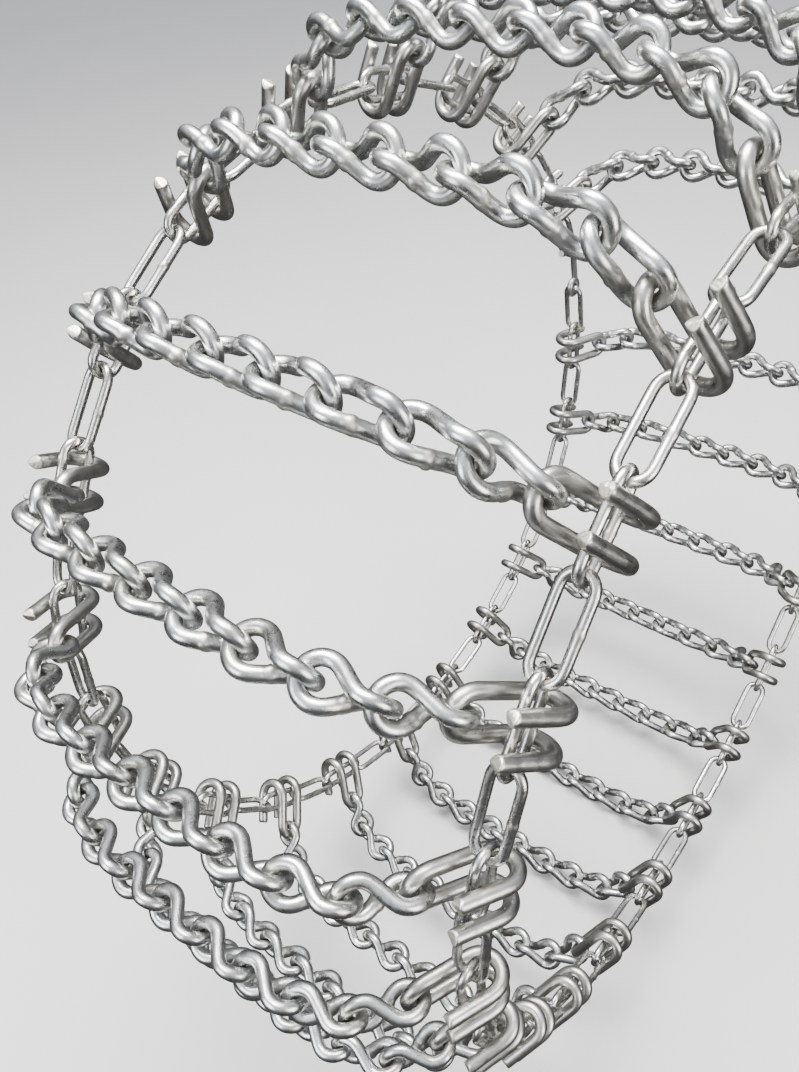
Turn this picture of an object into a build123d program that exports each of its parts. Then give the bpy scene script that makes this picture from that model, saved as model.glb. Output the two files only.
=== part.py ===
from build123d import *
import math
import os

# ---------------------------------------------------------------------------
# Tire snow chain, ladder type, as fitted round a wide low-profile tyre.
# Origin: centre of the wheel.  +Y: along the wheel axle, towards the vehicle,
# so the outer side chain is at -Y.  +Z up.  Millimetres.
# ---------------------------------------------------------------------------

# ladder layout
stations = 22                 # cross-chain stations round the wheel
closure_station = 18          # the station taken by the two closing fasteners
station_step = 360.0 / stations
first_angle = 11.1            # angle of station 0 about +Y, from +Z, degrees
side_radius = 325.0           # radius of the side chains' centre line
side_pitch = 2 * side_radius * math.tan(math.radians(station_step / 4))

# side-chain links: long, straight, thin wire
side_wire = 5.5
side_width = 17.0             # bar to bar, centre to centre
play = 0.3                    # air between two bars that bear on each other
side_length = side_pitch + side_wire + play   # end bar to end bar, centres

# cross-chain links: short, twisted a quarter turn, thick wire
cross_wire = 8.0
cross_width = 21.0            # bar to bar, centre to centre
cross_pitch = 35.2
cross_length = cross_pitch + cross_wire + play
twist_half = 45.0             # each end bar is turned this far, opposite ways
links_per_row = 9
crown_angles = [0.0, 0.5, 7.0, 19.0]   # slope of links 5, 6, 7, 8 across the tread
shoulder_slope = 49.6         # slope of the last link, over the tyre's shoulder
link_rolls = [0.0, 4.0, 11.0, 20.0, 32.0]   # how far links 5 to 9 roll about the row
seat_back, seat_down = 1.0, 1.5       # how a bar settles in the next one at a bent joint
bead_r = 4.75                 # butt-weld bead on one side bar
bead_len = 4.0
side_bead_r = 3.2
side_bead_len = 3.0

# cross-chain hooks: a doubled bar, U eye at the row, C curl at the side chain
hook_wire = 8.5
hook_legs = 21.5              # leg to leg, centre to centre
hook_gape = 24.0              # legs to returned bars, centre to centre
hook_slope = 66.0             # slope of the legs over the shoulder, degrees
hook_eye = 28.5               # side-link centre to the eye's bearing face
hook_curl_offset = 6.0        # curl centre beyond the side-link centre
hook_return = 27.5            # straight length of each returned bar

# closing fasteners
lever_thick = 6.0
eye_bore = 4.02
closing_rod = 6.5
keeper_wire = 4.0

os.makedirs("parts", exist_ok=True)


# --------------------------- bent-bar helper -------------------------------
def bar(points, radii, diameter, closed=False):
    """Round bar along straight runs joined by tangent arcs, built into the
    BuildPart that is open.  radii has one entry per bend."""
    pts = [Vector(*p) for p in points]
    n = len(pts)
    corners = list(range(n)) if closed else list(range(1, n - 1))
    cut = {}
    for i, r in zip(corners, radii):
        a = (pts[i - 1] - pts[i]).normalized()
        b = (pts[(i + 1) % n] - pts[i]).normalized()
        inside = math.acos(max(-1.0, min(1.0, a.dot(b))))
        t = r / math.tan(inside / 2)
        cut[i] = (pts[i] + a * t, pts[i] + b * t, r, math.degrees(math.pi - inside), a, b)
    runs = range(n) if closed else range(n - 1)
    for i in runs:
        j = (i + 1) % n
        s = cut[i][1] if i in cut else pts[i]
        e = cut[j][0] if j in cut else pts[j]
        if (e - s).length > 1e-3:
            with BuildSketch(Plane(origin=s, z_dir=e - s)) as section:
                Circle(diameter / 2)
            extrude(section.sketch, amount=(e - s).length)
    for i in corners:
        s, e, r, turn, a, b = cut[i]
        normal = (a * -1).cross(b).normalized()
        centre = s + normal.cross(a * -1).normalized() * r
        with BuildSketch(Plane(origin=s, z_dir=a * -1)) as section:
            Circle(diameter / 2)
        revolve(section.sketch, axis=Axis(centre, normal), revolution_arc=turn)


def bead(centre, direction, radius, length):
    """Raised ring of weld metal round a bar."""
    d = Vector(*direction).normalized()
    with BuildSketch(Plane(origin=Vector(*centre) - d * (length / 2), z_dir=d)) as section:
        Circle(radius)
    extrude(section.sketch, amount=length)


def station_angle(k):
    return first_angle - station_step * k


def about_axle(angle):
    return Location((0, 0, 0), (0, angle, 0))


# ------------------------------ link blanks --------------------------------
# Twisted cross link: long axis X, flat in XY, +X end bar turned +45 degrees
# from +Y towards +Z, -X end bar turned the other way.
h = cross_width / 2
c, s = h * math.cos(math.radians(twist_half)), h * math.sin(math.radians(twist_half))
L2 = cross_length / 2
k2 = L2 - h - 3.6
cross_pts = [(L2, -c, -s), (L2, c, s), (k2, c, s), (-k2, c, -s),
             (-L2, c, -s), (-L2, -c, s), (-k2, -c, s), (k2, -c, -s)]

with BuildPart() as cross_link:
    bar(cross_pts, [0.995 * h, 0.995 * h, 9.0, 9.0] * 2, cross_wire, closed=True)
    bead((0, -c, 0), (2 * k2, 0, -2 * s), bead_r, bead_len)

# Side link: long axis X, bars at +-side_width/2 in Y, end bars half circles.
with BuildPart() as side_link:
    half = side_length / 2 - side_width / 2
    w = side_width / 2
    for y in (-w, w):
        with BuildSketch(Plane(origin=(-half, y, 0), z_dir=(1, 0, 0))):
            Circle(side_wire / 2)
        extrude(amount=2 * half)
    for x, sgn in ((half, 1), (-half, -1)):
        with BuildSketch(Plane(origin=(x, -w, 0), z_dir=(1, 0, 0))):
            Circle(side_wire / 2)
        revolve(axis=Axis((x, 0, 0), (0, 0, 1)), revolution_arc=180 * sgn)
    bead((0, -w, 0), (1, 0, 0), side_bead_r, side_bead_len)

# ------------------------- row geometry at the top -------------------------
# In the plane of a row: s = distance outwards from the middle of the tread
# (towards one side chain), n = height above the axle.
hs = math.radians(hook_slope)
h_dir = (math.cos(hs), -math.sin(hs))        # eye towards side chain
m_dir = (math.sin(hs), math.cos(hs))         # away from the tyre
bs = math.radians(shoulder_slope)


def turned(slope, along, out):
    """(s, n) step of a piece that slopes down by slope radians."""
    return (along * math.cos(slope) + out * math.sin(slope), -along * math.sin(slope) + out * math.cos(slope))


# walk from the middle of the tread outwards: (centre s, centre n, slope)
steps = []
at = (0.5 * cross_pitch, 0.0)
for a in crown_angles[1:]:
    d = turned(math.radians(a), cross_pitch / 2, 0)
    steps.append((at[0] + d[0], at[1] + d[1], a))
    at = (at[0] + 2 * d[0], at[1] + 2 * d[1])
d = turned(bs, cross_pitch / 2 - seat_back, -seat_down)
centre9 = (at[0] + d[0], at[1] + d[1])
steps.append((centre9[0], centre9[1], shoulder_slope))
d = turned(bs, cross_pitch / 2, 0)
at = (centre9[0] + d[0], centre9[1] + d[1])
d = turned(hs, hook_eye - seat_back, hook_gape / 2 - seat_down)
at = (at[0] + d[0], at[1] + d[1])
crown_radius_mid = side_radius - at[1]      # centre line of the middle link above the axle
side_half_span = at[0]                      # side chains lie at y = -/+ this
print("crown radius", round(crown_radius_mid, 3), "side half span", round(side_half_span, 3))


# The outer side is at -Y: a link's long axis +X maps to -Y, its width to +X.
def row_frame(s, n, slope, side, roll):
    """Plane of a link: x_dir along the row towards the outer side, z_dir out
    of the tread, rolled about x_dir.  side = -1 is the outer half of the row,
    +1 the inner half."""
    t, q = math.radians(slope), math.radians(roll)
    x_dir = (0, -math.cos(t), side * math.sin(t))
    out = (0, side * math.sin(t), math.cos(t))
    z_dir = (side * math.sin(q), math.cos(q) * out[1], math.cos(q) * out[2])
    return Plane(origin=(0, side * s, n), x_dir=x_dir, z_dir=z_dir)


row_planes = [row_frame(0, crown_radius_mid, 0, -1, 0)]
for side in (-1, 1):
    for (s_, n_, slope_), roll_ in zip(steps, link_rolls[1:]):
        row_planes.append(row_frame(s_, crown_radius_mid + n_, slope_, side, roll_))

# ------------------------------- hook blank --------------------------------
# Local frame: origin at the side link's centre, X along the legs away from
# the eye, Z away from the tyre, Y along the side chain.
g = hook_gape / 2
lw = hook_legs / 2
eye_x = -(hook_eye + hook_wire / 2 + play / 2)
with BuildPart() as hook:
    # U eye
    with BuildSketch(Plane(origin=(eye_x + lw, -lw, -g), z_dir=(-1, 0, 0))):
        Circle(hook_wire / 2)
    revolve(axis=Axis((eye_x + lw, 0, -g), (0, 0, -1)), revolution_arc=180)
    for y in (-lw, lw):
        # leg
        with BuildSketch(Plane(origin=(eye_x + lw, y, -g), z_dir=(1, 0, 0))):
            Circle(hook_wire / 2)
        extrude(amount=hook_curl_offset - eye_x - lw)
        # curl
        with BuildSketch(Plane(origin=(hook_curl_offset, y, -g), z_dir=(1, 0, 0))):
            Circle(hook_wire / 2)
        revolve(axis=Axis((hook_curl_offset, y, 0), (0, -1, 0)), revolution_arc=180)
        # returned bar, sheared end chamfered
        with BuildSketch(Plane(origin=(hook_curl_offset, y, g), z_dir=(-1, 0, 0))):
            Circle(hook_wire / 2)
        extrude(amount=hook_return)
    ends = hook.part.faces().filter_by(GeomType.PLANE).filter_by(Axis.X)
    chamfer(ends.edges(), length=0.6)


def hook_frame(side):
    y = side * side_half_span
    x_dir = (0, side * math.cos(hs), -math.sin(hs))
    z_dir = (0, side * math.sin(hs), math.cos(hs))
    return Plane(origin=(0, y, side_radius), x_dir=x_dir, z_dir=z_dir)


# ------------------------------ cross chains -------------------------------
with BuildPart() as top_row:
    with Locations(*[p.location for p in row_planes]):
        add(cross_link.part, clean=False)

with BuildPart() as top_hooks:
    with Locations(hook_frame(-1).location, hook_frame(1).location):
        add(hook.part, clean=False)

cross_stations = [k for k in range(1, stations + 1) if k != closure_station]
for k in cross_stations:
    turn = about_axle(station_angle(k))
    with BuildPart() as row:
        with Locations(turn):
            add(top_row.part, clean=False)
    row.part.label = f"cross_chain_{k:02d}"
    export_step(row.part, f"parts/cross_chain_{k:02d}.step")

    with BuildPart() as hook_pair:
        with Locations(turn):
            add(top_hooks.part, clean=False)
    hook_pair.part.label = f"cross_hooks_{k:02d}"
    export_step(hook_pair.part, f"parts/cross_hooks_{k:02d}.step")

# ------------------------------- side chains -------------------------------
# Links under a hook lie flat on the sidewall, the links between stand on edge.
def flat_frame(angle, side):
    a = math.radians(angle)
    return Plane(origin=(side_radius * math.sin(a), side * side_half_span, side_radius * math.cos(a)),
                 x_dir=(math.cos(a), 0, -math.sin(a)), z_dir=(0, side, 0))


def edge_frame(angle, side):
    a = math.radians(angle)
    return Plane(origin=(side_radius * math.sin(a), side * side_half_span, side_radius * math.cos(a)),
                 x_dir=(math.cos(a), 0, -math.sin(a)), z_dir=(math.sin(a), 0, math.cos(a)))


for side, word in ((-1, "outer"), (1, "inner")):
    with BuildPart() as hooked_links:
        with Locations(*[flat_frame(station_angle(k), side).location for k in cross_stations]):
            add(side_link.part, clean=False)
    hooked_links.part.label = f"{word}_side_hooked_links"
    export_step(hooked_links.part, f"parts/{word}_side_hooked_links.step")

    with BuildPart() as free_links:
        with Locations(*[edge_frame(station_angle(k + 0.5), side).location for k in range(1, stations + 1)]):
            add(side_link.part, clean=False)
    free_links.part.label = f"{word}_side_free_links"
    export_step(free_links.part, f"parts/{word}_side_free_links.step")

# --------------------------- closing fasteners -----------------------------
# Frame of the closure slot: X along the ring (towards lower station numbers),
# Z radially out, Y along the axle.  The two neighbouring free links end here.
half_step = math.radians(station_step / 2)
closure = station_angle(closure_station)
near_end = side_length / 2 - 0.0
cx = side_radius * math.sin(half_step)
cz = side_radius * (math.cos(half_step) - 1)
# centre of each neighbour's end bar, in the slot frame
bar_x = cx - (side_length / 2) * math.cos(half_step)
bar_z = cz + (side_length / 2) * math.sin(half_step)
print("closure: end bars at x", round(bar_x, 3), "z", round(bar_z, 3))


def closure_plane(side):
    a = math.radians(closure)
    return Plane(origin=(side_radius * math.sin(a), side * side_half_span, side_radius * math.cos(a)),
                 x_dir=(math.cos(a), 0, -math.sin(a)), z_dir=(math.sin(a), 0, math.cos(a)))


# Outer cam lever: flat forging, eye round one link's end bar, nose over the
# other's, tail lying back along the chain on the hub side.
nose_gap = side_wire / 2 + 1.0
with BuildPart() as outer_lever:
    with BuildSketch(Plane(origin=(0, lever_thick / 2, 0), x_dir=(1, 0, 0), z_dir=(0, -1, 0))):
        with Locations((bar_x, bar_z)):
            Circle(eye_bore + 5.2)
        # body from the eye to the nose, above the end bar
        with BuildLine():
            Polyline((bar_x + 2, bar_z + 9.0), (-bar_x - 2.0, bar_z + 11.0), (-bar_x - 9.5, bar_z + 8.5),
                     (-bar_x - 11.2, bar_z + 2.0), (-bar_x - 10.2, bar_z - 7.0), (-bar_x - 6.6, bar_z - 8.6),
                     (-bar_x - 3.6, bar_z - 5.0), (-bar_x - nose_gap - 0.35, bar_z), (-bar_x - nose_gap + 0.4, bar_z + 2.6),
                     (-bar_x, bar_z + nose_gap + 0.6), (-bar_x + 6.0, bar_z + 3.2), (bar_x - 6.0, bar_z - 6.0),
                     (bar_x + 2, bar_z - 6.0), (bar_x + 2, bar_z + 9.0))
        make_face()
        # tail
        with BuildLine():
            Polyline((bar_x - 6.5, bar_z - 5.0), (bar_x + 6.0, bar_z - 6.8), (bar_x + 12.0, bar_z - 12.5),
                     (bar_x + 33.0, bar_z - 16.4), (bar_x + 35.0, bar_z - 19.5), (bar_x + 32.5, bar_z - 22.4),
                     (bar_x + 10.0, bar_z - 19.0), (bar_x - 3.0, bar_z - 11.5), (bar_x - 6.5, bar_z - 5.0))
        make_face()
        with Locations((bar_x, bar_z)):
            Circle(eye_bore, mode=Mode.SUBTRACT)
    extrude(amount=lever_thick)
lever_local = outer_lever.part
with BuildPart() as lever_placed:
    with Locations(closure_plane(-1).location):
        add(lever_local, clean=False)
lever_placed.part.label = "outer_lever"
export_step(lever_placed.part, "parts/outer_lever.step")

# Keeper: a loose long ring round the lever's side of the chain.
slope = math.radians(station_step / 2)
keep_along = 12.5
kw, kt, kb = 14.2, 5.6, -23.0       # half width, top and bottom, bar centres
with BuildPart() as keeper:
    bar([(keep_along, -kw, kt), (keep_along, kw, kt), (keep_along, kw, kb), (keep_along, -kw, kb)],
        [5.0, 5.0, 5.0, 5.0], keeper_wire, closed=True)
a_keep = math.radians(station_angle(closure_station - 0.5))
keeper_plane = Plane(origin=(side_radius * math.sin(a_keep), -side_half_span, side_radius * math.cos(a_keep)),
                     x_dir=(math.cos(a_keep), 0, -math.sin(a_keep)), z_dir=(math.sin(a_keep), 0, math.cos(a_keep)))
with BuildPart() as keeper_placed:
    with Locations(keeper_plane.location):
        add(keeper.part, clean=False)
keeper_placed.part.label = "keeper_ring"
export_step(keeper_placed.part, "parts/keeper_ring.step")

# Inner closing hook: one rod bent to a closed eye round a link's end bar and
# an open J that holds the other link's end bar from above.
er = eye_bore + closing_rod / 2
jr = side_wire / 2 + closing_rod / 2 + 0.45
with BuildPart() as inner_hook:
    with BuildSketch(Plane(origin=(bar_x + er, 0, bar_z), z_dir=(0, 0, 1))):
        Circle(closing_rod / 2)
    revolve(axis=Axis((bar_x, 0, bar_z), (0, 1, 0)), revolution_arc=360)
    # shank welded to the eye, then the J round the far bar
    bar([(bar_x - er * math.cos(math.radians(40)), 0, bar_z + er * math.sin(math.radians(40))),
         (-bar_x + 6.0, 0, bar_z + jr + 0.8), (-bar_x - jr - 3.0, 0, bar_z + jr + 0.8),
         (-bar_x - jr - 0.9, 0, bar_z - 8.5), (-bar_x - jr - 4.4, 0, bar_z - 13.5)],
        [30.0, 5.0, 6.0], closing_rod)
with BuildPart() as inner_placed:
    with Locations(closure_plane(1).location):
        add(inner_hook.part, clean=False)
inner_placed.part.label = "inner_closing_hook"
export_step(inner_placed.part, "parts/inner_closing_hook.step")

ap = closure_plane(-1)
pivot = ap.origin + ap.x_dir * bar_x + ap.z_dir * bar_z
print("lever pivot", [round(v, 3) for v in pivot], "keeper slide dir", [round(v, 5) for v in keeper_plane.x_dir])
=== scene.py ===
"""Looks for the tyre chain: swept bars with weld beads, sheared ends and plated-steel materials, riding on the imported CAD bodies."""
import math

import numpy as np
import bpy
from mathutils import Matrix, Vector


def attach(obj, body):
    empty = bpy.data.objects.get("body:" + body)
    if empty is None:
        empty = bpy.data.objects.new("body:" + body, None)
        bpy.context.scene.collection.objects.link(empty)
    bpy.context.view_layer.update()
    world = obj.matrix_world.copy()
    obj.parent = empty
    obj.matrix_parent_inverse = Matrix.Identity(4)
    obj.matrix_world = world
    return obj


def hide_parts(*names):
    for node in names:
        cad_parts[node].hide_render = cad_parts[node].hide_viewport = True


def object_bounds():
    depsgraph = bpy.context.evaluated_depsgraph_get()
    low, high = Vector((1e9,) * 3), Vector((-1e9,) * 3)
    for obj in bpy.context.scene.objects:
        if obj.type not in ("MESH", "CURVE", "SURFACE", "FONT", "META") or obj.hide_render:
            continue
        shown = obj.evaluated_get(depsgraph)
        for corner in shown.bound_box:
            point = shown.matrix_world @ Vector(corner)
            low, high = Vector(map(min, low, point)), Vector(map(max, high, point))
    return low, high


# ------------------------------------------------------------------ sizes, mm
STATIONS, CLOSURE, STEP, FIRST = 22, 18, 360 / 22, 11.1
RS = 325.0
SIDE_PITCH = 2 * RS * math.tan(math.radians(STEP / 4))
SIDE_WIRE, SIDE_WIDTH, PLAY = 5.5, 17.0, 0.3
SIDE_LENGTH = SIDE_PITCH + SIDE_WIRE + PLAY
WIRE, WIDTH, PITCH = 8.0, 21.0, 35.2
LENGTH = PITCH + WIRE + PLAY
CROWN = [0.0, 0.5, 7.0, 19.0]
SHOULDER = 49.6
ROLLS = [0.0, 4.0, 11.0, 20.0, 32.0]
BACK, DOWN = 1.0, 1.5
HOOK_WIRE, HOOK_LEGS, HOOK_GAPE, HOOK_SLOPE, HOOK_EYE = 8.5, 21.5, 24.0, 66.0, 28.5
HOOK_CURL, HOOK_RETURN = 6.0, 27.5


# ------------------------------------------------------------- row geometry
def turned(slope, along, out):
    return (along * math.cos(slope) + out * math.sin(slope),
            -along * math.sin(slope) + out * math.cos(slope))


def walk():
    steps, at = [], (0.5 * PITCH, 0.0)
    for a in CROWN[1:]:
        d = turned(math.radians(a), PITCH / 2, 0)
        steps.append((at[0] + d[0], at[1] + d[1], a))
        at = (at[0] + 2 * d[0], at[1] + 2 * d[1])
    bs = math.radians(SHOULDER)
    d = turned(bs, PITCH / 2 - BACK, -DOWN)
    c9 = (at[0] + d[0], at[1] + d[1])
    steps.append((c9[0], c9[1], SHOULDER))
    d = turned(bs, PITCH / 2, 0)
    at = (c9[0] + d[0], c9[1] + d[1])
    d = turned(math.radians(HOOK_SLOPE), HOOK_EYE - BACK, HOOK_GAPE / 2 - DOWN)
    return steps, RS - (at[1] + d[1]), at[0] + d[0]


STEPS, CROWN_RADIUS, YS = walk()


def frame_of(origin, x_dir, z_dir):
    """3x4 matrix of a local frame."""
    x, z = np.array(x_dir, float), np.array(z_dir, float)
    x, z = x / np.linalg.norm(x), z / np.linalg.norm(z)
    return np.column_stack([x, np.cross(z, x), z, np.array(origin, float)])


def put(m, pts):
    return pts @ m[:, :3].T + m[:, 3]


def link_frame(s, n, slope, side, roll):
    t, q = math.radians(slope), math.radians(roll)
    out = (side * math.sin(t), math.cos(t))
    return frame_of((0, side * s, n), (0, -math.cos(t), side * math.sin(t)),
                    (side * math.sin(q), math.cos(q) * out[0], math.cos(q) * out[1]))


def hook_frame(side):
    t = math.radians(HOOK_SLOPE)
    return frame_of((0, side * YS, RS), (0, side * math.cos(t), -math.sin(t)),
                    (0, side * math.sin(t), math.cos(t)))


def row_frames():
    made = [(1, link_frame(0, CROWN_RADIUS, 0, -1, 0))]
    for side in (-1, 1):
        for i, ((s, n, slope), roll) in enumerate(zip(STEPS, ROLLS[1:])):
            made.append((side * -(i + 1), link_frame(s, CROWN_RADIUS + n, slope, side, roll)))
    return made


def about_axle(angle):
    a = math.radians(angle)
    return np.array([[math.cos(a), 0, math.sin(a)], [0, 1, 0], [-math.sin(a), 0, math.cos(a)]])


def turn(angle, m):
    r = about_axle(angle)
    return np.column_stack([r @ m[:, :3], r @ m[:, 3]])


def station(k):
    return FIRST - STEP * k


def flat_frame(angle, side):
    a = math.radians(angle)
    return frame_of((RS * math.sin(a), side * YS, RS * math.cos(a)), (math.cos(a), 0, -math.sin(a)), (0, side, 0))


def edge_frame(angle, side):
    a = math.radians(angle)
    return frame_of((RS * math.sin(a), side * YS, RS * math.cos(a)), (math.cos(a), 0, -math.sin(a)),
                    (math.sin(a), 0, math.cos(a)))


# ------------------------------------------------------------ bar centre lines
def rounded(points, radii, closed, spacing):
    """Even samples along straight runs joined by tangent arcs."""
    p = [np.array(q, float) for q in points]
    n = len(p)
    ids = list(range(n)) if closed else list(range(1, n - 1))
    arcs = {}
    for i, r in zip(ids, radii):
        a, b = p[i - 1] - p[i], p[(i + 1) % n] - p[i]
        a, b = a / np.linalg.norm(a), b / np.linalg.norm(b)
        inside = math.acos(max(-1.0, min(1.0, float(a @ b))))
        t = r / math.tan(inside / 2)
        mid = (a + b) / np.linalg.norm(a + b)
        centre = p[i] + mid * (r / math.sin(inside / 2))
        u = p[i] + a * t - centre
        u = u / np.linalg.norm(u)
        v = -a - u * float(-a @ u)
        v = v / np.linalg.norm(v)
        k = 24
        th = np.linspace(0, math.pi - inside, k)
        arcs[i] = centre + r * (np.cos(th)[:, None] * u + np.sin(th)[:, None] * v)
    dense = []
    for i in range(n):
        if i in arcs:
            dense.extend(list(arcs[i]))
        else:
            dense.append(p[i])
    if closed:
        dense.append(dense[0])
    d = np.array(dense)
    s = np.r_[0, np.cumsum(np.linalg.norm(np.diff(d, axis=0), axis=1))]
    keep = np.r_[True, np.diff(s) > 1e-6]
    d, s = d[keep], s[keep]
    count = max(8, int(round(s[-1] / spacing)))
    at = np.linspace(0, s[-1], count + 1)
    if closed:
        at = at[:-1]
    return np.column_stack([np.interp(at, s, d[:, j]) for j in range(3)]), s[-1]


def smooth(path, closed, times, weight=0.5):
    for _ in range(times):
        if closed:
            avg = (np.roll(path, 1, 0) + np.roll(path, -1, 0)) / 2
            path = path * (1 - weight) + avg * weight
        else:
            avg = (path[:-2] + path[2:]) / 2
            path = path.copy()
            path[1:-1] = path[1:-1] * (1 - weight) + avg * weight
    return path


def frames_along(path, closed):
    """Tangent and two side directions that turn as little as they can."""
    n = len(path)
    if closed:
        t = np.roll(path, -1, 0) - np.roll(path, 1, 0)
    else:
        t = np.gradient(path, axis=0)
    t /= np.linalg.norm(t, axis=1)[:, None]
    ref = np.array([0, 0, 1.0]) if abs(t[0][2]) < 0.8 else np.array([0, 1.0, 0])
    u = np.zeros_like(path)
    u[0] = ref - t[0] * (ref @ t[0])
    u[0] /= np.linalg.norm(u[0])
    for i in range(1, n):
        v = u[i - 1] - t[i] * (u[i - 1] @ t[i])
        u[i] = v / np.linalg.norm(v)
    if closed:
        v = u[-1] - t[0] * (u[-1] @ t[0])
        v /= np.linalg.norm(v)
        w0 = np.cross(t[0], u[0])
        off = math.atan2(float(v @ w0), float(v @ u[0]))
        ang = -off * np.arange(n) / n
        w = np.cross(t, u)
        u = u * np.cos(ang)[:, None] + w * np.sin(ang)[:, None]
    return t, u, np.cross(t, u)


def wobble(rng, s, th, total, amount, terms=6, closed=True):
    """Soft random swell over a bar's surface; s is (n,1), th is (1,m)."""
    out = 0
    for _ in range(terms):
        ks = rng.integers(1, 9)
        kt = rng.integers(0, 4)
        out = out + rng.normal() * np.cos(2 * math.pi * ks * s / total + kt * th + rng.uniform(0, 6.28))
    return amount * out / math.sqrt(terms)


def sweep(path, radius, closed, sides, shear=None):
    """Grid of points (n, sides, 3) round a path; radius is (n, sides)."""
    t, u, w = frames_along(path, closed)
    th = np.linspace(0, 2 * math.pi, sides, endpoint=False)
    ring = np.cos(th)[None, :, None] * u[:, None, :] + np.sin(th)[None, :, None] * w[:, None, :]
    return path[:, None, :] + radius[:, :, None] * ring, t, u, w, th


def grid_faces(n, m, closed):
    i = np.arange(n if closed else n - 1)
    j = np.arange(m)
    a = (i[:, None] * m + j[None, :])
    b = (i[:, None] * m + (j[None, :] + 1) % m)
    c = (((i[:, None] + 1) % n) * m + (j[None, :] + 1) % m)
    d = (((i[:, None] + 1) % n) * m + j[None, :])
    return np.stack([a, b, c, d], -1).reshape(-1, 4)


def closed_bar(path, total, wire, seed, sides=20, weld_at=None, weld_dir=None, weld=(0.8, 2.1), weld_len=2.2, amount=0.05):
    """A welded link: points, quads, wire coordinates and marks."""
    rng = np.random.default_rng(seed)
    n = len(path)
    s = (np.arange(n) * total / n)[:, None]
    th = np.linspace(0, 2 * math.pi, sides, endpoint=False)[None, :]
    r = np.full((n, sides), wire / 2) + wobble(rng, s, th, total, amount)
    mark = np.zeros((n, sides, 3))
    if weld_at is not None:
        i0 = int(np.argmin(np.linalg.norm(path - np.array(weld_at), axis=1)))
        ds = (np.arange(n) - i0 + n // 2) % n - n // 2
        ds = (ds * total / n)[:, None]
        low, high = weld
        ragged = 0.55 + 0.45 * np.cos(th - rng.uniform(0, 6.28)) + 0.22 * np.cos(3 * th + rng.uniform(0, 6.28)) \
            + 0.16 * np.cos(5 * th + rng.uniform(0, 6.28))
        ragged = np.clip(ragged, 0.1, None)
        lean = 0.9 * np.cos(th + rng.uniform(0, 6.28)) + 0.4 * np.cos(2 * th + rng.uniform(0, 6.28))
        x = (ds - lean) / weld_len
        r = r + (low * 0.55 * ragged) * np.exp(-x ** 4) * (0.85 + 0.15 * np.cos(7 * th + seed))
        r = r + 0.22 * np.exp(-((ds + 0.4) / (2.6 * weld_len)) ** 2)
        r = r - 0.10 * np.exp(-((np.abs(ds - lean) - 1.55 * weld_len) / 0.9) ** 2)
        mark[..., 0] = np.exp(-(x / 1.25) ** 4)
        mark[..., 0] = np.maximum(mark[..., 0], 0.45 * np.exp(-(ds / (3.2 * weld_len)) ** 2))
    pts, t, u, w, th1 = sweep(path, r, True, sides)
    wirec = np.zeros((n, sides, 3))
    wirec[..., 0] = np.cos(th1)[None, :] * wire / 2
    wirec[..., 1] = np.sin(th1)[None, :] * wire / 2
    wirec[..., 2] = s
    wirec += rng.uniform(-400, 400, 3)
    return pts.reshape(-1, 3), grid_faces(n, sides, True), wirec.reshape(-1, 3), mark.reshape(-1, 3)


def cross_mesh(seed, weld_side):
    """Twisted link in its local frame."""
    h = WIDTH / 2
    c = h * math.cos(math.radians(45))
    l2 = LENGTH / 2
    k = l2 - h - 3.6
    ru = 0.995 * h
    pts = [(l2, -c, -c), (l2, c, c), (k, c, c), (-k, c, -c), (-l2, c, -c), (-l2, -c, c), (-k, -c, c), (k, -c, -c)]
    path, total = rounded(pts, [ru, ru, 9, 9] * 2, True, 1.12)
    path = smooth(path, True, 10, 0.5)
    rng = np.random.default_rng(seed + 900)
    shift = rng.uniform(-1.6, 1.6)
    high = rng.uniform(0.75, 1.25)
    p, f, wc, mk = closed_bar(path, total, WIRE, seed, 20, (shift, -c, -shift * c / k), None, (high * 1.2, 1.6), 1.9, 0.012)
    # bars rub each other inside the two end bends; the same mask also paints shade there: a darker colour at the
    # contact spots where the links touch
    end = np.clip((np.abs(p[:, 0]) - (l2 - WIRE * 0.9)) / 3.0, 0, 1)
    inner = np.clip((l2 - 0.3 - np.abs(p[:, 0])) / 2.0, 0, 1)
    mk[:, 1] = end * inner
    return p, f, wc, mk


def side_mesh(seed):
    half = SIDE_LENGTH / 2
    w = SIDE_WIDTH / 2
    pts = [(half, -w, 0), (half, w, 0), (-half, w, 0), (-half, -w, 0)]
    path, total = rounded(pts, [0.995 * w] * 4, True, 1.25)
    path = smooth(path, True, 6, 0.5)
    rng = np.random.default_rng(seed + 77)
    shift = rng.uniform(-1.0, 1.0)
    p, f, wc, mk = closed_bar(path, total, SIDE_WIRE, seed, 16, (shift, -w, 0), None, (rng.uniform(0.45, 0.75), 0.9), 1.3, 0.010)
    # rub mark and painted shade: darker colour inside the end bends where the links touch
    end = np.clip((np.abs(p[:, 0]) - (half - SIDE_WIRE * 0.9)) / 3.0, 0, 1)
    inner = np.clip((half - 0.3 - np.abs(p[:, 0])) / 2.0, 0, 1)
    mk[:, 1] = end * inner
    return p, f, wc, mk


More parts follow.
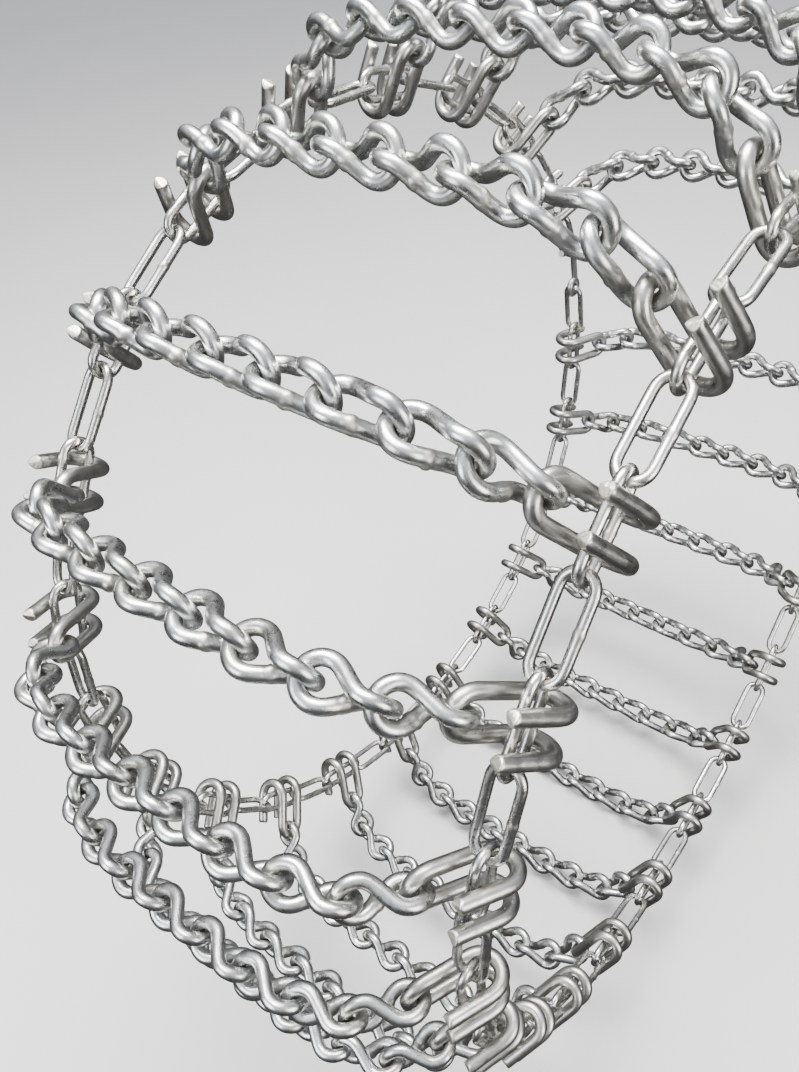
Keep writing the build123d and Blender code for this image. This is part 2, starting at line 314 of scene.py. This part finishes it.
def open_bar(path, total, wire, seed, sides=24, ends=((35, 0.5), (35, 0.5)), amount=0.05, press=None):
    """A bar with sheared, wedge-shaped ends."""
    rng = np.random.default_rng(seed)
    n = len(path)
    s = np.linspace(0, total, n)[:, None]
    th = np.linspace(0, 2 * math.pi, sides, endpoint=False)
    r = np.full((n, sides), wire / 2) + wobble(rng, s, th[None, :], total, amount)
    if press is not None:
        r = r + press(s, th[None, :])
    pts, t, u, w, _ = sweep(path, r, False, sides)
    mark = np.zeros((n, sides, 3))
    wirec = np.zeros((n, sides, 3))
    wirec[..., 0] = np.cos(th)[None, :] * wire / 2
    wirec[..., 1] = np.sin(th)[None, :] * wire / 2
    wirec[..., 2] = s
    all_pts, all_mark, all_wire = [pts], [mark], [wirec]
    faces = [grid_faces(n, sides, False)]
    count = n * sides
    for which in (0, 1):
        i = 0 if which == 0 else n - 1
        out = -t[i] if which == 0 else t[i]
        tilt, ridge = ends[which]
        turn_by = rng.uniform(-0.5, 0.5)
        skew = rng.uniform(-0.6, 0.6)

        def fall(x, y):
            # ridge along the turned x axis, two slopes; rounded at the ridge
            v = -x * math.sin(turn_by) + y * math.cos(turn_by) - ridge
            h = x * math.cos(turn_by) + y * math.sin(turn_by)
            return -(np.sqrt(v * v + 0.12) - 0.35) * math.tan(math.radians(tilt)) * np.where(v > 0, 1.0, 0.45) \
                + skew * h / wire + 0.10 * np.sin(2.3 * h + 1.7 * v + seed)

        # tilt the last rings
        span = 6.0
        for k in range(n):
            kk = k if which == 0 else n - 1 - k
            d = total * k / (n - 1)
            if d > span:
                break
            rel = pts[kk] - path[kk]
            x, y = rel @ u[kk], rel @ w[kk]
            pts[kk] = pts[kk] + (fall(x, y) * (1 - d / span) ** 1.3)[:, None] * out
            worn = 0.10 * math.exp(-d / 0.5)
            pts[kk] = pts[kk] - rel * worn
            mark[kk, :, 2] = np.maximum(mark[kk, :, 2], math.exp(-(d / 0.9) ** 2))
        # cap rings
        prev = np.arange(i * sides, i * sides + sides)
        base = path[i]
        rim = pts[i] - base
        for q in (0.9, 0.72, 0.5, 0.27):
            ux, wy = r[i] * np.cos(th) * q * 0.9, r[i] * np.sin(th) * q * 0.9
            ring = base + ux[:, None] * u[i] + wy[:, None] * w[i] + fall(ux, wy)[:, None] * out
            ids = np.arange(count, count + sides)
            a, b = prev, np.roll(prev, -1)
            c, d_ = np.roll(ids, -1), ids
            quad = np.stack([a, d_, c, b], -1) if which == 1 else np.stack([a, b, c, d_], -1)
            faces.append(quad[:, ::-1] if True else quad)
            all_pts.append(ring[None])
            m = np.zeros((1, sides, 3)); m[..., 2] = 1
            all_mark.append(m)
            wc = np.zeros((1, sides, 3))
            wc[..., 0], wc[..., 1], wc[..., 2] = ux, wy, s[i]
            all_wire.append(wc)
            prev = ids
            count += sides
        # centre point
        mid = base + float(fall(np.array(0.0), np.array(0.0))) * out
        all_pts.append(mid[None, None])
        m = np.zeros((1, 1, 3)); m[..., 2] = 1
        all_mark.append(m)
        wc = np.zeros((1, 1, 3)); wc[..., 2] = s[i]
        all_wire.append(wc)
        a, b = prev, np.roll(prev, -1)
        tri = np.stack([a, b, np.full(sides, count)], -1) if which == 1 else np.stack([b, a, np.full(sides, count)], -1)
        faces.append(tri)
        count += 1
    p = np.concatenate([q.reshape(-1, 3) for q in all_pts])
    mk = np.concatenate([q.reshape(-1, 3) for q in all_mark])
    wc = np.concatenate([q.reshape(-1, 3) for q in all_wire]) + rng.uniform(-400, 400, 3)
    return p, faces, wc, mk


def hook_mesh(seed):
    g, lw = HOOK_GAPE / 2, HOOK_LEGS / 2
    eye = -(HOOK_EYE + HOOK_WIRE / 2 + PLAY / 2)
    tip = HOOK_CURL - HOOK_RETURN
    far = HOOK_CURL + g
    pts = [(tip, -lw, g), (far, -lw, g), (far, -lw, -g), (eye, -lw, -g), (eye, lw, -g), (far, lw, -g), (far, lw, g), (tip, lw, g)]
    path, total = rounded(pts, [0.995 * g, 0.995 * g, 0.995 * lw, 0.995 * lw, 0.995 * g, 0.995 * g], False, 1.15)
    path = smooth(path, False, 8, 0.5)

    def press(s, th):
        # marks of the bending former on the outside of the returned bars
        e = np.minimum(s, total - s)
        return -0.10 * np.exp(-((e - 11.0) / 2.0) ** 2) * (0.5 + 0.5 * np.cos(th * 2 + seed)) - 0.06 * np.exp(-((e - 30) / 3.0) ** 2)

    return open_bar(path, total, HOOK_WIRE, seed, 24, ((34, 0.9), (34, 0.9)), 0.014, press)


# --------------------------------------------------------------- Blender side
import bpy
from mathutils import Matrix, Vector

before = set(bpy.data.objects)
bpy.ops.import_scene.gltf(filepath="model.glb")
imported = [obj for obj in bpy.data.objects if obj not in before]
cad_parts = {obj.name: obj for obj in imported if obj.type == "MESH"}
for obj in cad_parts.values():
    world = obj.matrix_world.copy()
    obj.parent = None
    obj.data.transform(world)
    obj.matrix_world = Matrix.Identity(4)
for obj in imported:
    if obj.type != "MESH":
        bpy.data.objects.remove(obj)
CAD_LO, CAD_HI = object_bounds()
SCENE = bpy.context.scene


def link_up(o):
    SCENE.collection.objects.link(o)
    return o


def piece(name, parts, material, body, nodes):
    """One mesh object from (points mm, faces, wire, mark, tint) parts."""
    pts, wires, marks, tints, loops, sizes = [], [], [], [], [], []
    count = 0
    for p, faces, wc, mk, tint in parts:
        pts.append(p); wires.append(wc); marks.append(mk)
        tints.append(np.full(len(p), tint))
        for f in (faces if isinstance(faces, list) else [faces]):
            loops.append((f + count).ravel())
            sizes.append(np.full(len(f), f.shape[1]))
        count += len(p)
    pts, wires, marks = np.concatenate(pts) / 1000, np.concatenate(wires), np.concatenate(marks)
    tints, loops, sizes = np.concatenate(tints), np.concatenate(loops), np.concatenate(sizes)
    me = bpy.data.meshes.new(name)
    me.vertices.add(len(pts))
    me.vertices.foreach_set("co", pts.astype(np.float32).ravel())
    me.loops.add(len(loops))
    me.loops.foreach_set("vertex_index", loops.astype(np.int32))
    me.polygons.add(len(sizes))
    me.polygons.foreach_set("loop_start", np.r_[0, np.cumsum(sizes)[:-1]].astype(np.int32))
    me.polygons.foreach_set("loop_total", sizes.astype(np.int32))
    me.update(calc_edges=True)
    me.validate()
    me.polygons.foreach_set("use_smooth", [True] * len(me.polygons))
    a = me.attributes.new("wire", "FLOAT_VECTOR", "POINT")
    a.data.foreach_set("vector", wires.astype(np.float32).ravel())
    a = me.attributes.new("mark", "FLOAT_VECTOR", "POINT")
    a.data.foreach_set("vector", marks.astype(np.float32).ravel())
    a = me.attributes.new("tint", "FLOAT", "POINT")
    a.data.foreach_set("value", tints.astype(np.float32))
    me.materials.append(material)
    o = link_up(bpy.data.objects.new(name, me))
    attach(o, body)
    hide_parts(*nodes)
    return o


# ------------------------------------------------------------------ materials
def plated(name, bright, warm, dark, rough, bump, weld_tone=(0.50, 0.46, 0.40), attributes=True,
           weld_amount=0.5, brown=0.0, dull=0.0):
    m = bpy.data.materials.new(name)
    m.use_nodes = True
    nt = m.node_tree
    nt.nodes.clear()
    N = nt.nodes.new
    L = nt.links.new
    out = N("ShaderNodeOutputMaterial")
    b = N("ShaderNodeBsdfPrincipled")
    L(b.outputs["BSDF"], out.inputs["Surface"])
    b.inputs["Metallic"].default_value = 1.0
    tc = N("ShaderNodeTexCoord")

    def noise(scale, detail=3.0, rough_=0.5, vector=None, stretch=None, distortion=0.0):
        t = N("ShaderNodeTexNoise")
        t.inputs["Scale"].default_value = scale
        t.inputs["Detail"].default_value = detail
        t.inputs["Roughness"].default_value = rough_
        t.inputs["Distortion"].default_value = distortion
        v = vector or tc.outputs["Object"]
        if stretch:
            mp = N("ShaderNodeMapping")
            mp.inputs["Scale"].default_value = stretch
            L(v, mp.inputs["Vector"])
            v = mp.outputs["Vector"]
        L(v, t.inputs["Vector"])
        return t.outputs["Fac"]

    def ramp(value, lo, hi, a=0.0, c=1.0, smooth_=True):
        r = N("ShaderNodeMapRange")
        r.interpolation_type = "SMOOTHSTEP" if smooth_ else "LINEAR"
        r.inputs["From Min"].default_value = lo
        r.inputs["From Max"].default_value = hi
        r.inputs["To Min"].default_value = a
        r.inputs["To Max"].default_value = c
        L(value, r.inputs["Value"])
        return r.outputs["Result"]

    def mix(fac, a, c):
        x = N("ShaderNodeMix")
        x.data_type = "RGBA"
        for sock, val in ((x.inputs[6], a), (x.inputs[7], c)):
            if isinstance(val, tuple):
                sock.default_value = (*val, 1)
            else:
                L(val, sock)
        L(fac, x.inputs[0])
        return x.outputs[2]

    def calc(op, a, c=None, clamp=False):
        x = N("ShaderNodeMath")
        x.operation = op
        x.use_clamp = clamp
        for i, val in enumerate((a, c)):
            if val is None:
                continue
            if isinstance(val, (int, float)):
                x.inputs[i].default_value = val
            else:
                L(val, x.inputs[i])
        return x.outputs[0]

    if attributes:
        wa = N("ShaderNodeAttribute"); wa.attribute_name = "wire"
        ma = N("ShaderNodeAttribute"); ma.attribute_name = "mark"
        ta = N("ShaderNodeAttribute"); ta.attribute_name = "tint"
        sep = N("ShaderNodeSeparateXYZ")
        L(ma.outputs["Vector"], sep.inputs[0])
        weldm, rub_and_shade_mask, cutm = sep.outputs[0], sep.outputs[1], sep.outputs[2]
        lines = noise(1.0, 4.0, 0.6, wa.outputs["Vector"], (1.9, 1.9, 0.05))
        nicks = noise(1.0, 2.0, 0.5, wa.outputs["Vector"], (0.9, 0.9, 0.35))
    else:
        lines = noise(1.0, 4.0, 0.6, None, (1400, 260, 1400))
        nicks = noise(420, 2.0)
    clouds = noise(38, 4.0, 0.55)
    patches = noise(150, 5.0, 0.62, None, None, 0.6)
    specks = noise(900, 3.0, 0.6)
    grain = noise(2600, 2.0, 0.6)

    col = mix(ramp(clouds, 0.38, 0.64), bright, warm)
    col = mix(ramp(patches, 0.54, 0.78, 0.0, 0.55), col, dark)
    col = mix(ramp(specks, 0.60, 0.74, 0.0, 0.38), col, tuple(c * 0.72 for c in dark))
    col = mix(ramp(lines, 0.52, 0.74, 0.0, 0.35), col, dark)
    if brown:
        col = mix(ramp(noise(70, 5.0, 0.65, None, None, 0.8), 0.46, 0.66, 0.0, brown), col, (0.37, 0.31, 0.245))
    if attributes:
        tone = ramp(ta.outputs["Fac"], 0.0, 1.0, 0.0, 0.35, False)
        col = mix(tone, col, tuple(c * 0.86 for c in warm))
        col = mix(calc("MULTIPLY", weldm, calc("MULTIPLY", ramp(patches, 0.3, 0.62, 0.35, 1.0), weld_amount)), col, weld_tone)
        # rub marks and painted shade: darker colour inside the end bends where links touch each other
        col = mix(calc("MULTIPLY", rub_and_shade_mask, ramp(patches, 0.35, 0.65, 0.15, 0.6)), col, (0.40, 0.385, 0.35))
        col = mix(calc("MULTIPLY", cutm, ramp(nicks, 0.3, 0.6, 0.75, 1.0)), col, (0.86, 0.83, 0.73))
    L(col, b.inputs["Base Color"])

    r = calc("ADD", ramp(patches, 0.3, 0.72, rough[0], rough[1]), ramp(specks, 0.45, 0.75, 0.0, 0.10))
    r = calc("ADD", r, ramp(lines, 0.4, 0.7, -0.03, 0.06))
    if attributes:
        r = calc("ADD", r, calc("MULTIPLY", weldm, 0.12))
        r = calc("ADD", r, calc("MULTIPLY", cutm, 0.10), True)
    L(r, b.inputs["Roughness"])

    height = calc("ADD", calc("MULTIPLY", patches, 0.5), calc("MULTIPLY", specks, 0.24))
    height = calc("ADD", height, calc("MULTIPLY", grain, 0.05))
    height = calc("ADD", height, calc("MULTIPLY", lines, 0.36))
    height = calc("ADD", height, calc("MULTIPLY", nicks, 0.42))
    if attributes:
        rough_weld = noise(520, 4.0, 0.7)
        height = calc("ADD", height, calc("MULTIPLY", calc("MULTIPLY", weldm, rough_weld), 1.6))
        height = calc("ADD", height, calc("MULTIPLY", calc("MULTIPLY", cutm, noise(700, 4.0, 0.7)), 1.2))
    bp = N("ShaderNodeBump")
    bp.inputs["Strength"].default_value = bump
    bp.inputs["Distance"].default_value = 0.0004
    L(height, bp.inputs["Height"])
    L(bp.outputs["Normal"], b.inputs["Normal"])
    return m


MAT_CROSS = plated("zinc_cross_chain", (0.79, 0.805, 0.80), (0.715, 0.715, 0.69), (0.46, 0.46, 0.445), (0.25, 0.37), 0.26)
MAT_HOOK = plated("zinc_hook", (0.71, 0.71, 0.69), (0.62, 0.61, 0.575), (0.40, 0.39, 0.36), (0.28, 0.42), 0.36, brown=0.28)
MAT_SIDE = plated("zinc_side_chain", (0.82, 0.825, 0.81), (0.75, 0.74, 0.70), (0.52, 0.515, 0.49), (0.23, 0.34), 0.24, weld_amount=0.4)
MAT_CLOSE = plated("zinc_closing", (0.74, 0.74, 0.725), (0.66, 0.645, 0.605), (0.47, 0.46, 0.43), (0.29, 0.42), 0.4, attributes=False)

# --------------------------------------------------------------------- pieces
ROW = row_frames()
HOOKS = [hook_frame(-1), hook_frame(1)]
crosses = [k for k in range(1, STATIONS + 1) if k != CLOSURE]
for k in crosses:
    rng = np.random.default_rng(1000 + k)
    parts = []
    for i, (_, m) in enumerate(ROW):
        p, f, wc, mk = cross_mesh(100 * k + i, 1)
        parts.append((put(turn(station(k), m), p), f, wc, mk, rng.uniform()))
    piece(f"cross_chain_{k:02d}_look", parts, MAT_CROSS, f"cross_{k:02d}", [f"cross_chain_{k:02d}"])
    parts = []
    for i, m in enumerate(HOOKS):
        p, f, wc, mk = hook_mesh(5000 + 10 * k + i)
        parts.append((put(turn(station(k), m), p), f, wc, mk, rng.uniform()))
    piece(f"cross_hooks_{k:02d}_look", parts, MAT_HOOK, f"cross_{k:02d}", [f"cross_hooks_{k:02d}"])

for side, word in ((-1, "outer"), (1, "inner")):
    rng = np.random.default_rng(31 + side)
    parts = []
    for k in crosses:
        p, f, wc, mk = side_mesh(7000 + 50 * side + k)
        parts.append((put(flat_frame(station(k), side), p), f, wc, mk, rng.uniform()))
    piece(f"{word}_side_hooked_links_look", parts, MAT_SIDE, "side_chains", [f"{word}_side_hooked_links"])
    parts = []
    for k in range(1, STATIONS + 1):
        p, f, wc, mk = side_mesh(8000 + 50 * side + k)
        parts.append((put(edge_frame(station(k + 0.5), side), p), f, wc, mk, rng.uniform()))
    piece(f"{word}_side_free_links_look", parts, MAT_SIDE, "side_chains", [f"{word}_side_free_links"])

for n in ("outer_lever", "keeper_ring", "inner_closing_hook"):
    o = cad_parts[n]
    o.data.materials.clear()
    o.data.materials.append(MAT_CLOSE)
    for poly in o.data.polygons:
        poly.material_index = 0

# ---------------------------------------------------------------------- stage
FLOOR_Z = CAD_LO[2] - 0.0005


def floor():
    n = 48
    size = 24.0
    me = bpy.data.meshes.new("floor")
    g = np.linspace(-size / 2, size / 2, n)
    x, y = np.meshgrid(g, g, indexing="ij")
    pts = np.stack([x.ravel(), y.ravel(), np.full(n * n, FLOOR_Z)], -1)
    i, j = np.meshgrid(np.arange(n - 1), np.arange(n - 1), indexing="ij")
    a = (i * n + j).ravel()
    faces = np.stack([a, a + n, a + n + 1, a + 1], -1)
    me.from_pydata(pts.tolist(), [], faces.tolist())
    m = bpy.data.materials.new("pale_floor")
    m.use_nodes = True
    nt = m.node_tree
    b = nt.nodes["Principled BSDF"]
    b.inputs["Roughness"].default_value = 0.75
    b.inputs["Specular IOR Level"].default_value = 0.25
    tc = nt.nodes.new("ShaderNodeTexCoord")
    no = nt.nodes.new("ShaderNodeTexNoise")
    no.inputs["Scale"].default_value = 3.0
    no.inputs["Detail"].default_value = 5.0
    nt.links.new(tc.outputs["Object"], no.inputs["Vector"])
    mx = nt.nodes.new("ShaderNodeMix")
    mx.data_type = "RGBA"
    mx.inputs[6].default_value = (0.80, 0.79, 0.77, 1)
    mx.inputs[7].default_value = (0.74, 0.735, 0.72, 1)
    nt.links.new(no.outputs["Fac"], mx.inputs[0])
    nt.links.new(mx.outputs[2], b.inputs["Base Color"])
    me.materials.append(m)
    o = link_up(bpy.data.objects.new("floor", me))
    o.visible_glossy = False


floor()


w = bpy.data.worlds.new("studio")
SCENE.world = w
w.use_nodes = True
nt = w.node_tree
nt.nodes.clear()
wo = nt.nodes.new("ShaderNodeOutputWorld")
bg = nt.nodes.new("ShaderNodeBackground")
tc = nt.nodes.new("ShaderNodeTexCoord")
sp = nt.nodes.new("ShaderNodeSeparateXYZ")
mr = nt.nodes.new("ShaderNodeValToRGB")
nt.links.new(tc.outputs["Generated"], sp.inputs[0])
nt.links.new(sp.outputs[2], mr.inputs[0])
mr.color_ramp.elements[0].position = 0.0
mr.color_ramp.elements[0].color = (0.085, 0.085, 0.088, 1)
mr.color_ramp.elements[1].position = 0.85
mr.color_ramp.elements[1].color = (0.86, 0.89, 0.95, 1)
e = mr.color_ramp.elements.new(0.30)
e.color = (0.24, 0.245, 0.258, 1)
bg.inputs["Strength"].default_value = 0.75
bg2 = nt.nodes.new("ShaderNodeBackground")
bg2.inputs["Color"].default_value = (0.84, 0.85, 0.86, 1)
bg2.inputs["Strength"].default_value = 0.9
lp = nt.nodes.new("ShaderNodeLightPath")
mxs = nt.nodes.new("ShaderNodeMixShader")
nt.links.new(mr.outputs[0], bg.inputs["Color"])
nt.links.new(lp.outputs["Is Camera Ray"], mxs.inputs[0])
nt.links.new(bg.outputs[0], mxs.inputs[1])
nt.links.new(bg2.outputs[0], mxs.inputs[2])
nt.links.new(mxs.outputs[0], wo.inputs["Surface"])


def area(name, at, aim, size, power, colour):
    l = bpy.data.lights.new(name, "AREA")
    l.shape = "RECTANGLE"
    l.size, l.size_y = size
    l.energy = power
    l.color = colour
    o = link_up(bpy.data.objects.new(name, l))
    o.location = at
    o.rotation_mode = "QUATERNION"
    o.rotation_quaternion = (Vector(aim) - Vector(at)).to_track_quat("-Z", "Y")
    return o


area("key", (0.15, 0.25, 2.3), (-0.1, -0.05, 0.1), (1.7, 1.3), 80, (1.0, 0.99, 0.97))
area("left_fill", (-2.2, 0.5, 1.0), (-0.2, 0.0, 0.0), (1.2, 1.2), 16, (0.93, 0.96, 1.0))
area("front_fill", (-0.4, -2.3, 0.7), (-0.1, -0.1, 0.0), (1.3, 1.6), 24, (1.0, 0.98, 0.95))

# --------------------------------------------------------------------- camera
cam = bpy.data.cameras.new("camera")
co = link_up(bpy.data.objects.new("camera", cam))
SCENE.camera = co
F, PP = 851.075, (476.88, 593.63)
POS = Vector((-0.439636, -0.286729, 0.495685))
RIGHT = Vector((0.579891, -0.812136, -0.064512)).normalized()
FWD = Vector((0.537752, 0.441039, -0.718545)).normalized()
UP = RIGHT.cross(FWD).normalized()
cam.sensor_fit = "AUTO"
cam.sensor_width = 36.0
cam.lens = F * 36.0 / 1072
cam.shift_x = (399.5 - PP[0]) / 1072
cam.shift_y = (PP[1] - 536) / 1072
cam.clip_start, cam.clip_end = 0.02, 50
co.matrix_world = Matrix(((RIGHT.x, UP.x, -FWD.x, POS.x), (RIGHT.y, UP.y, -FWD.y, POS.y),
                          (RIGHT.z, UP.z, -FWD.z, POS.z), (0, 0, 0, 1)))

SCENE.view_settings.view_transform = "AgX"
try:
    SCENE.view_settings.look = "AgX - Medium High Contrast"
except TypeError:
    pass
SCENE.view_settings.exposure = 0.35
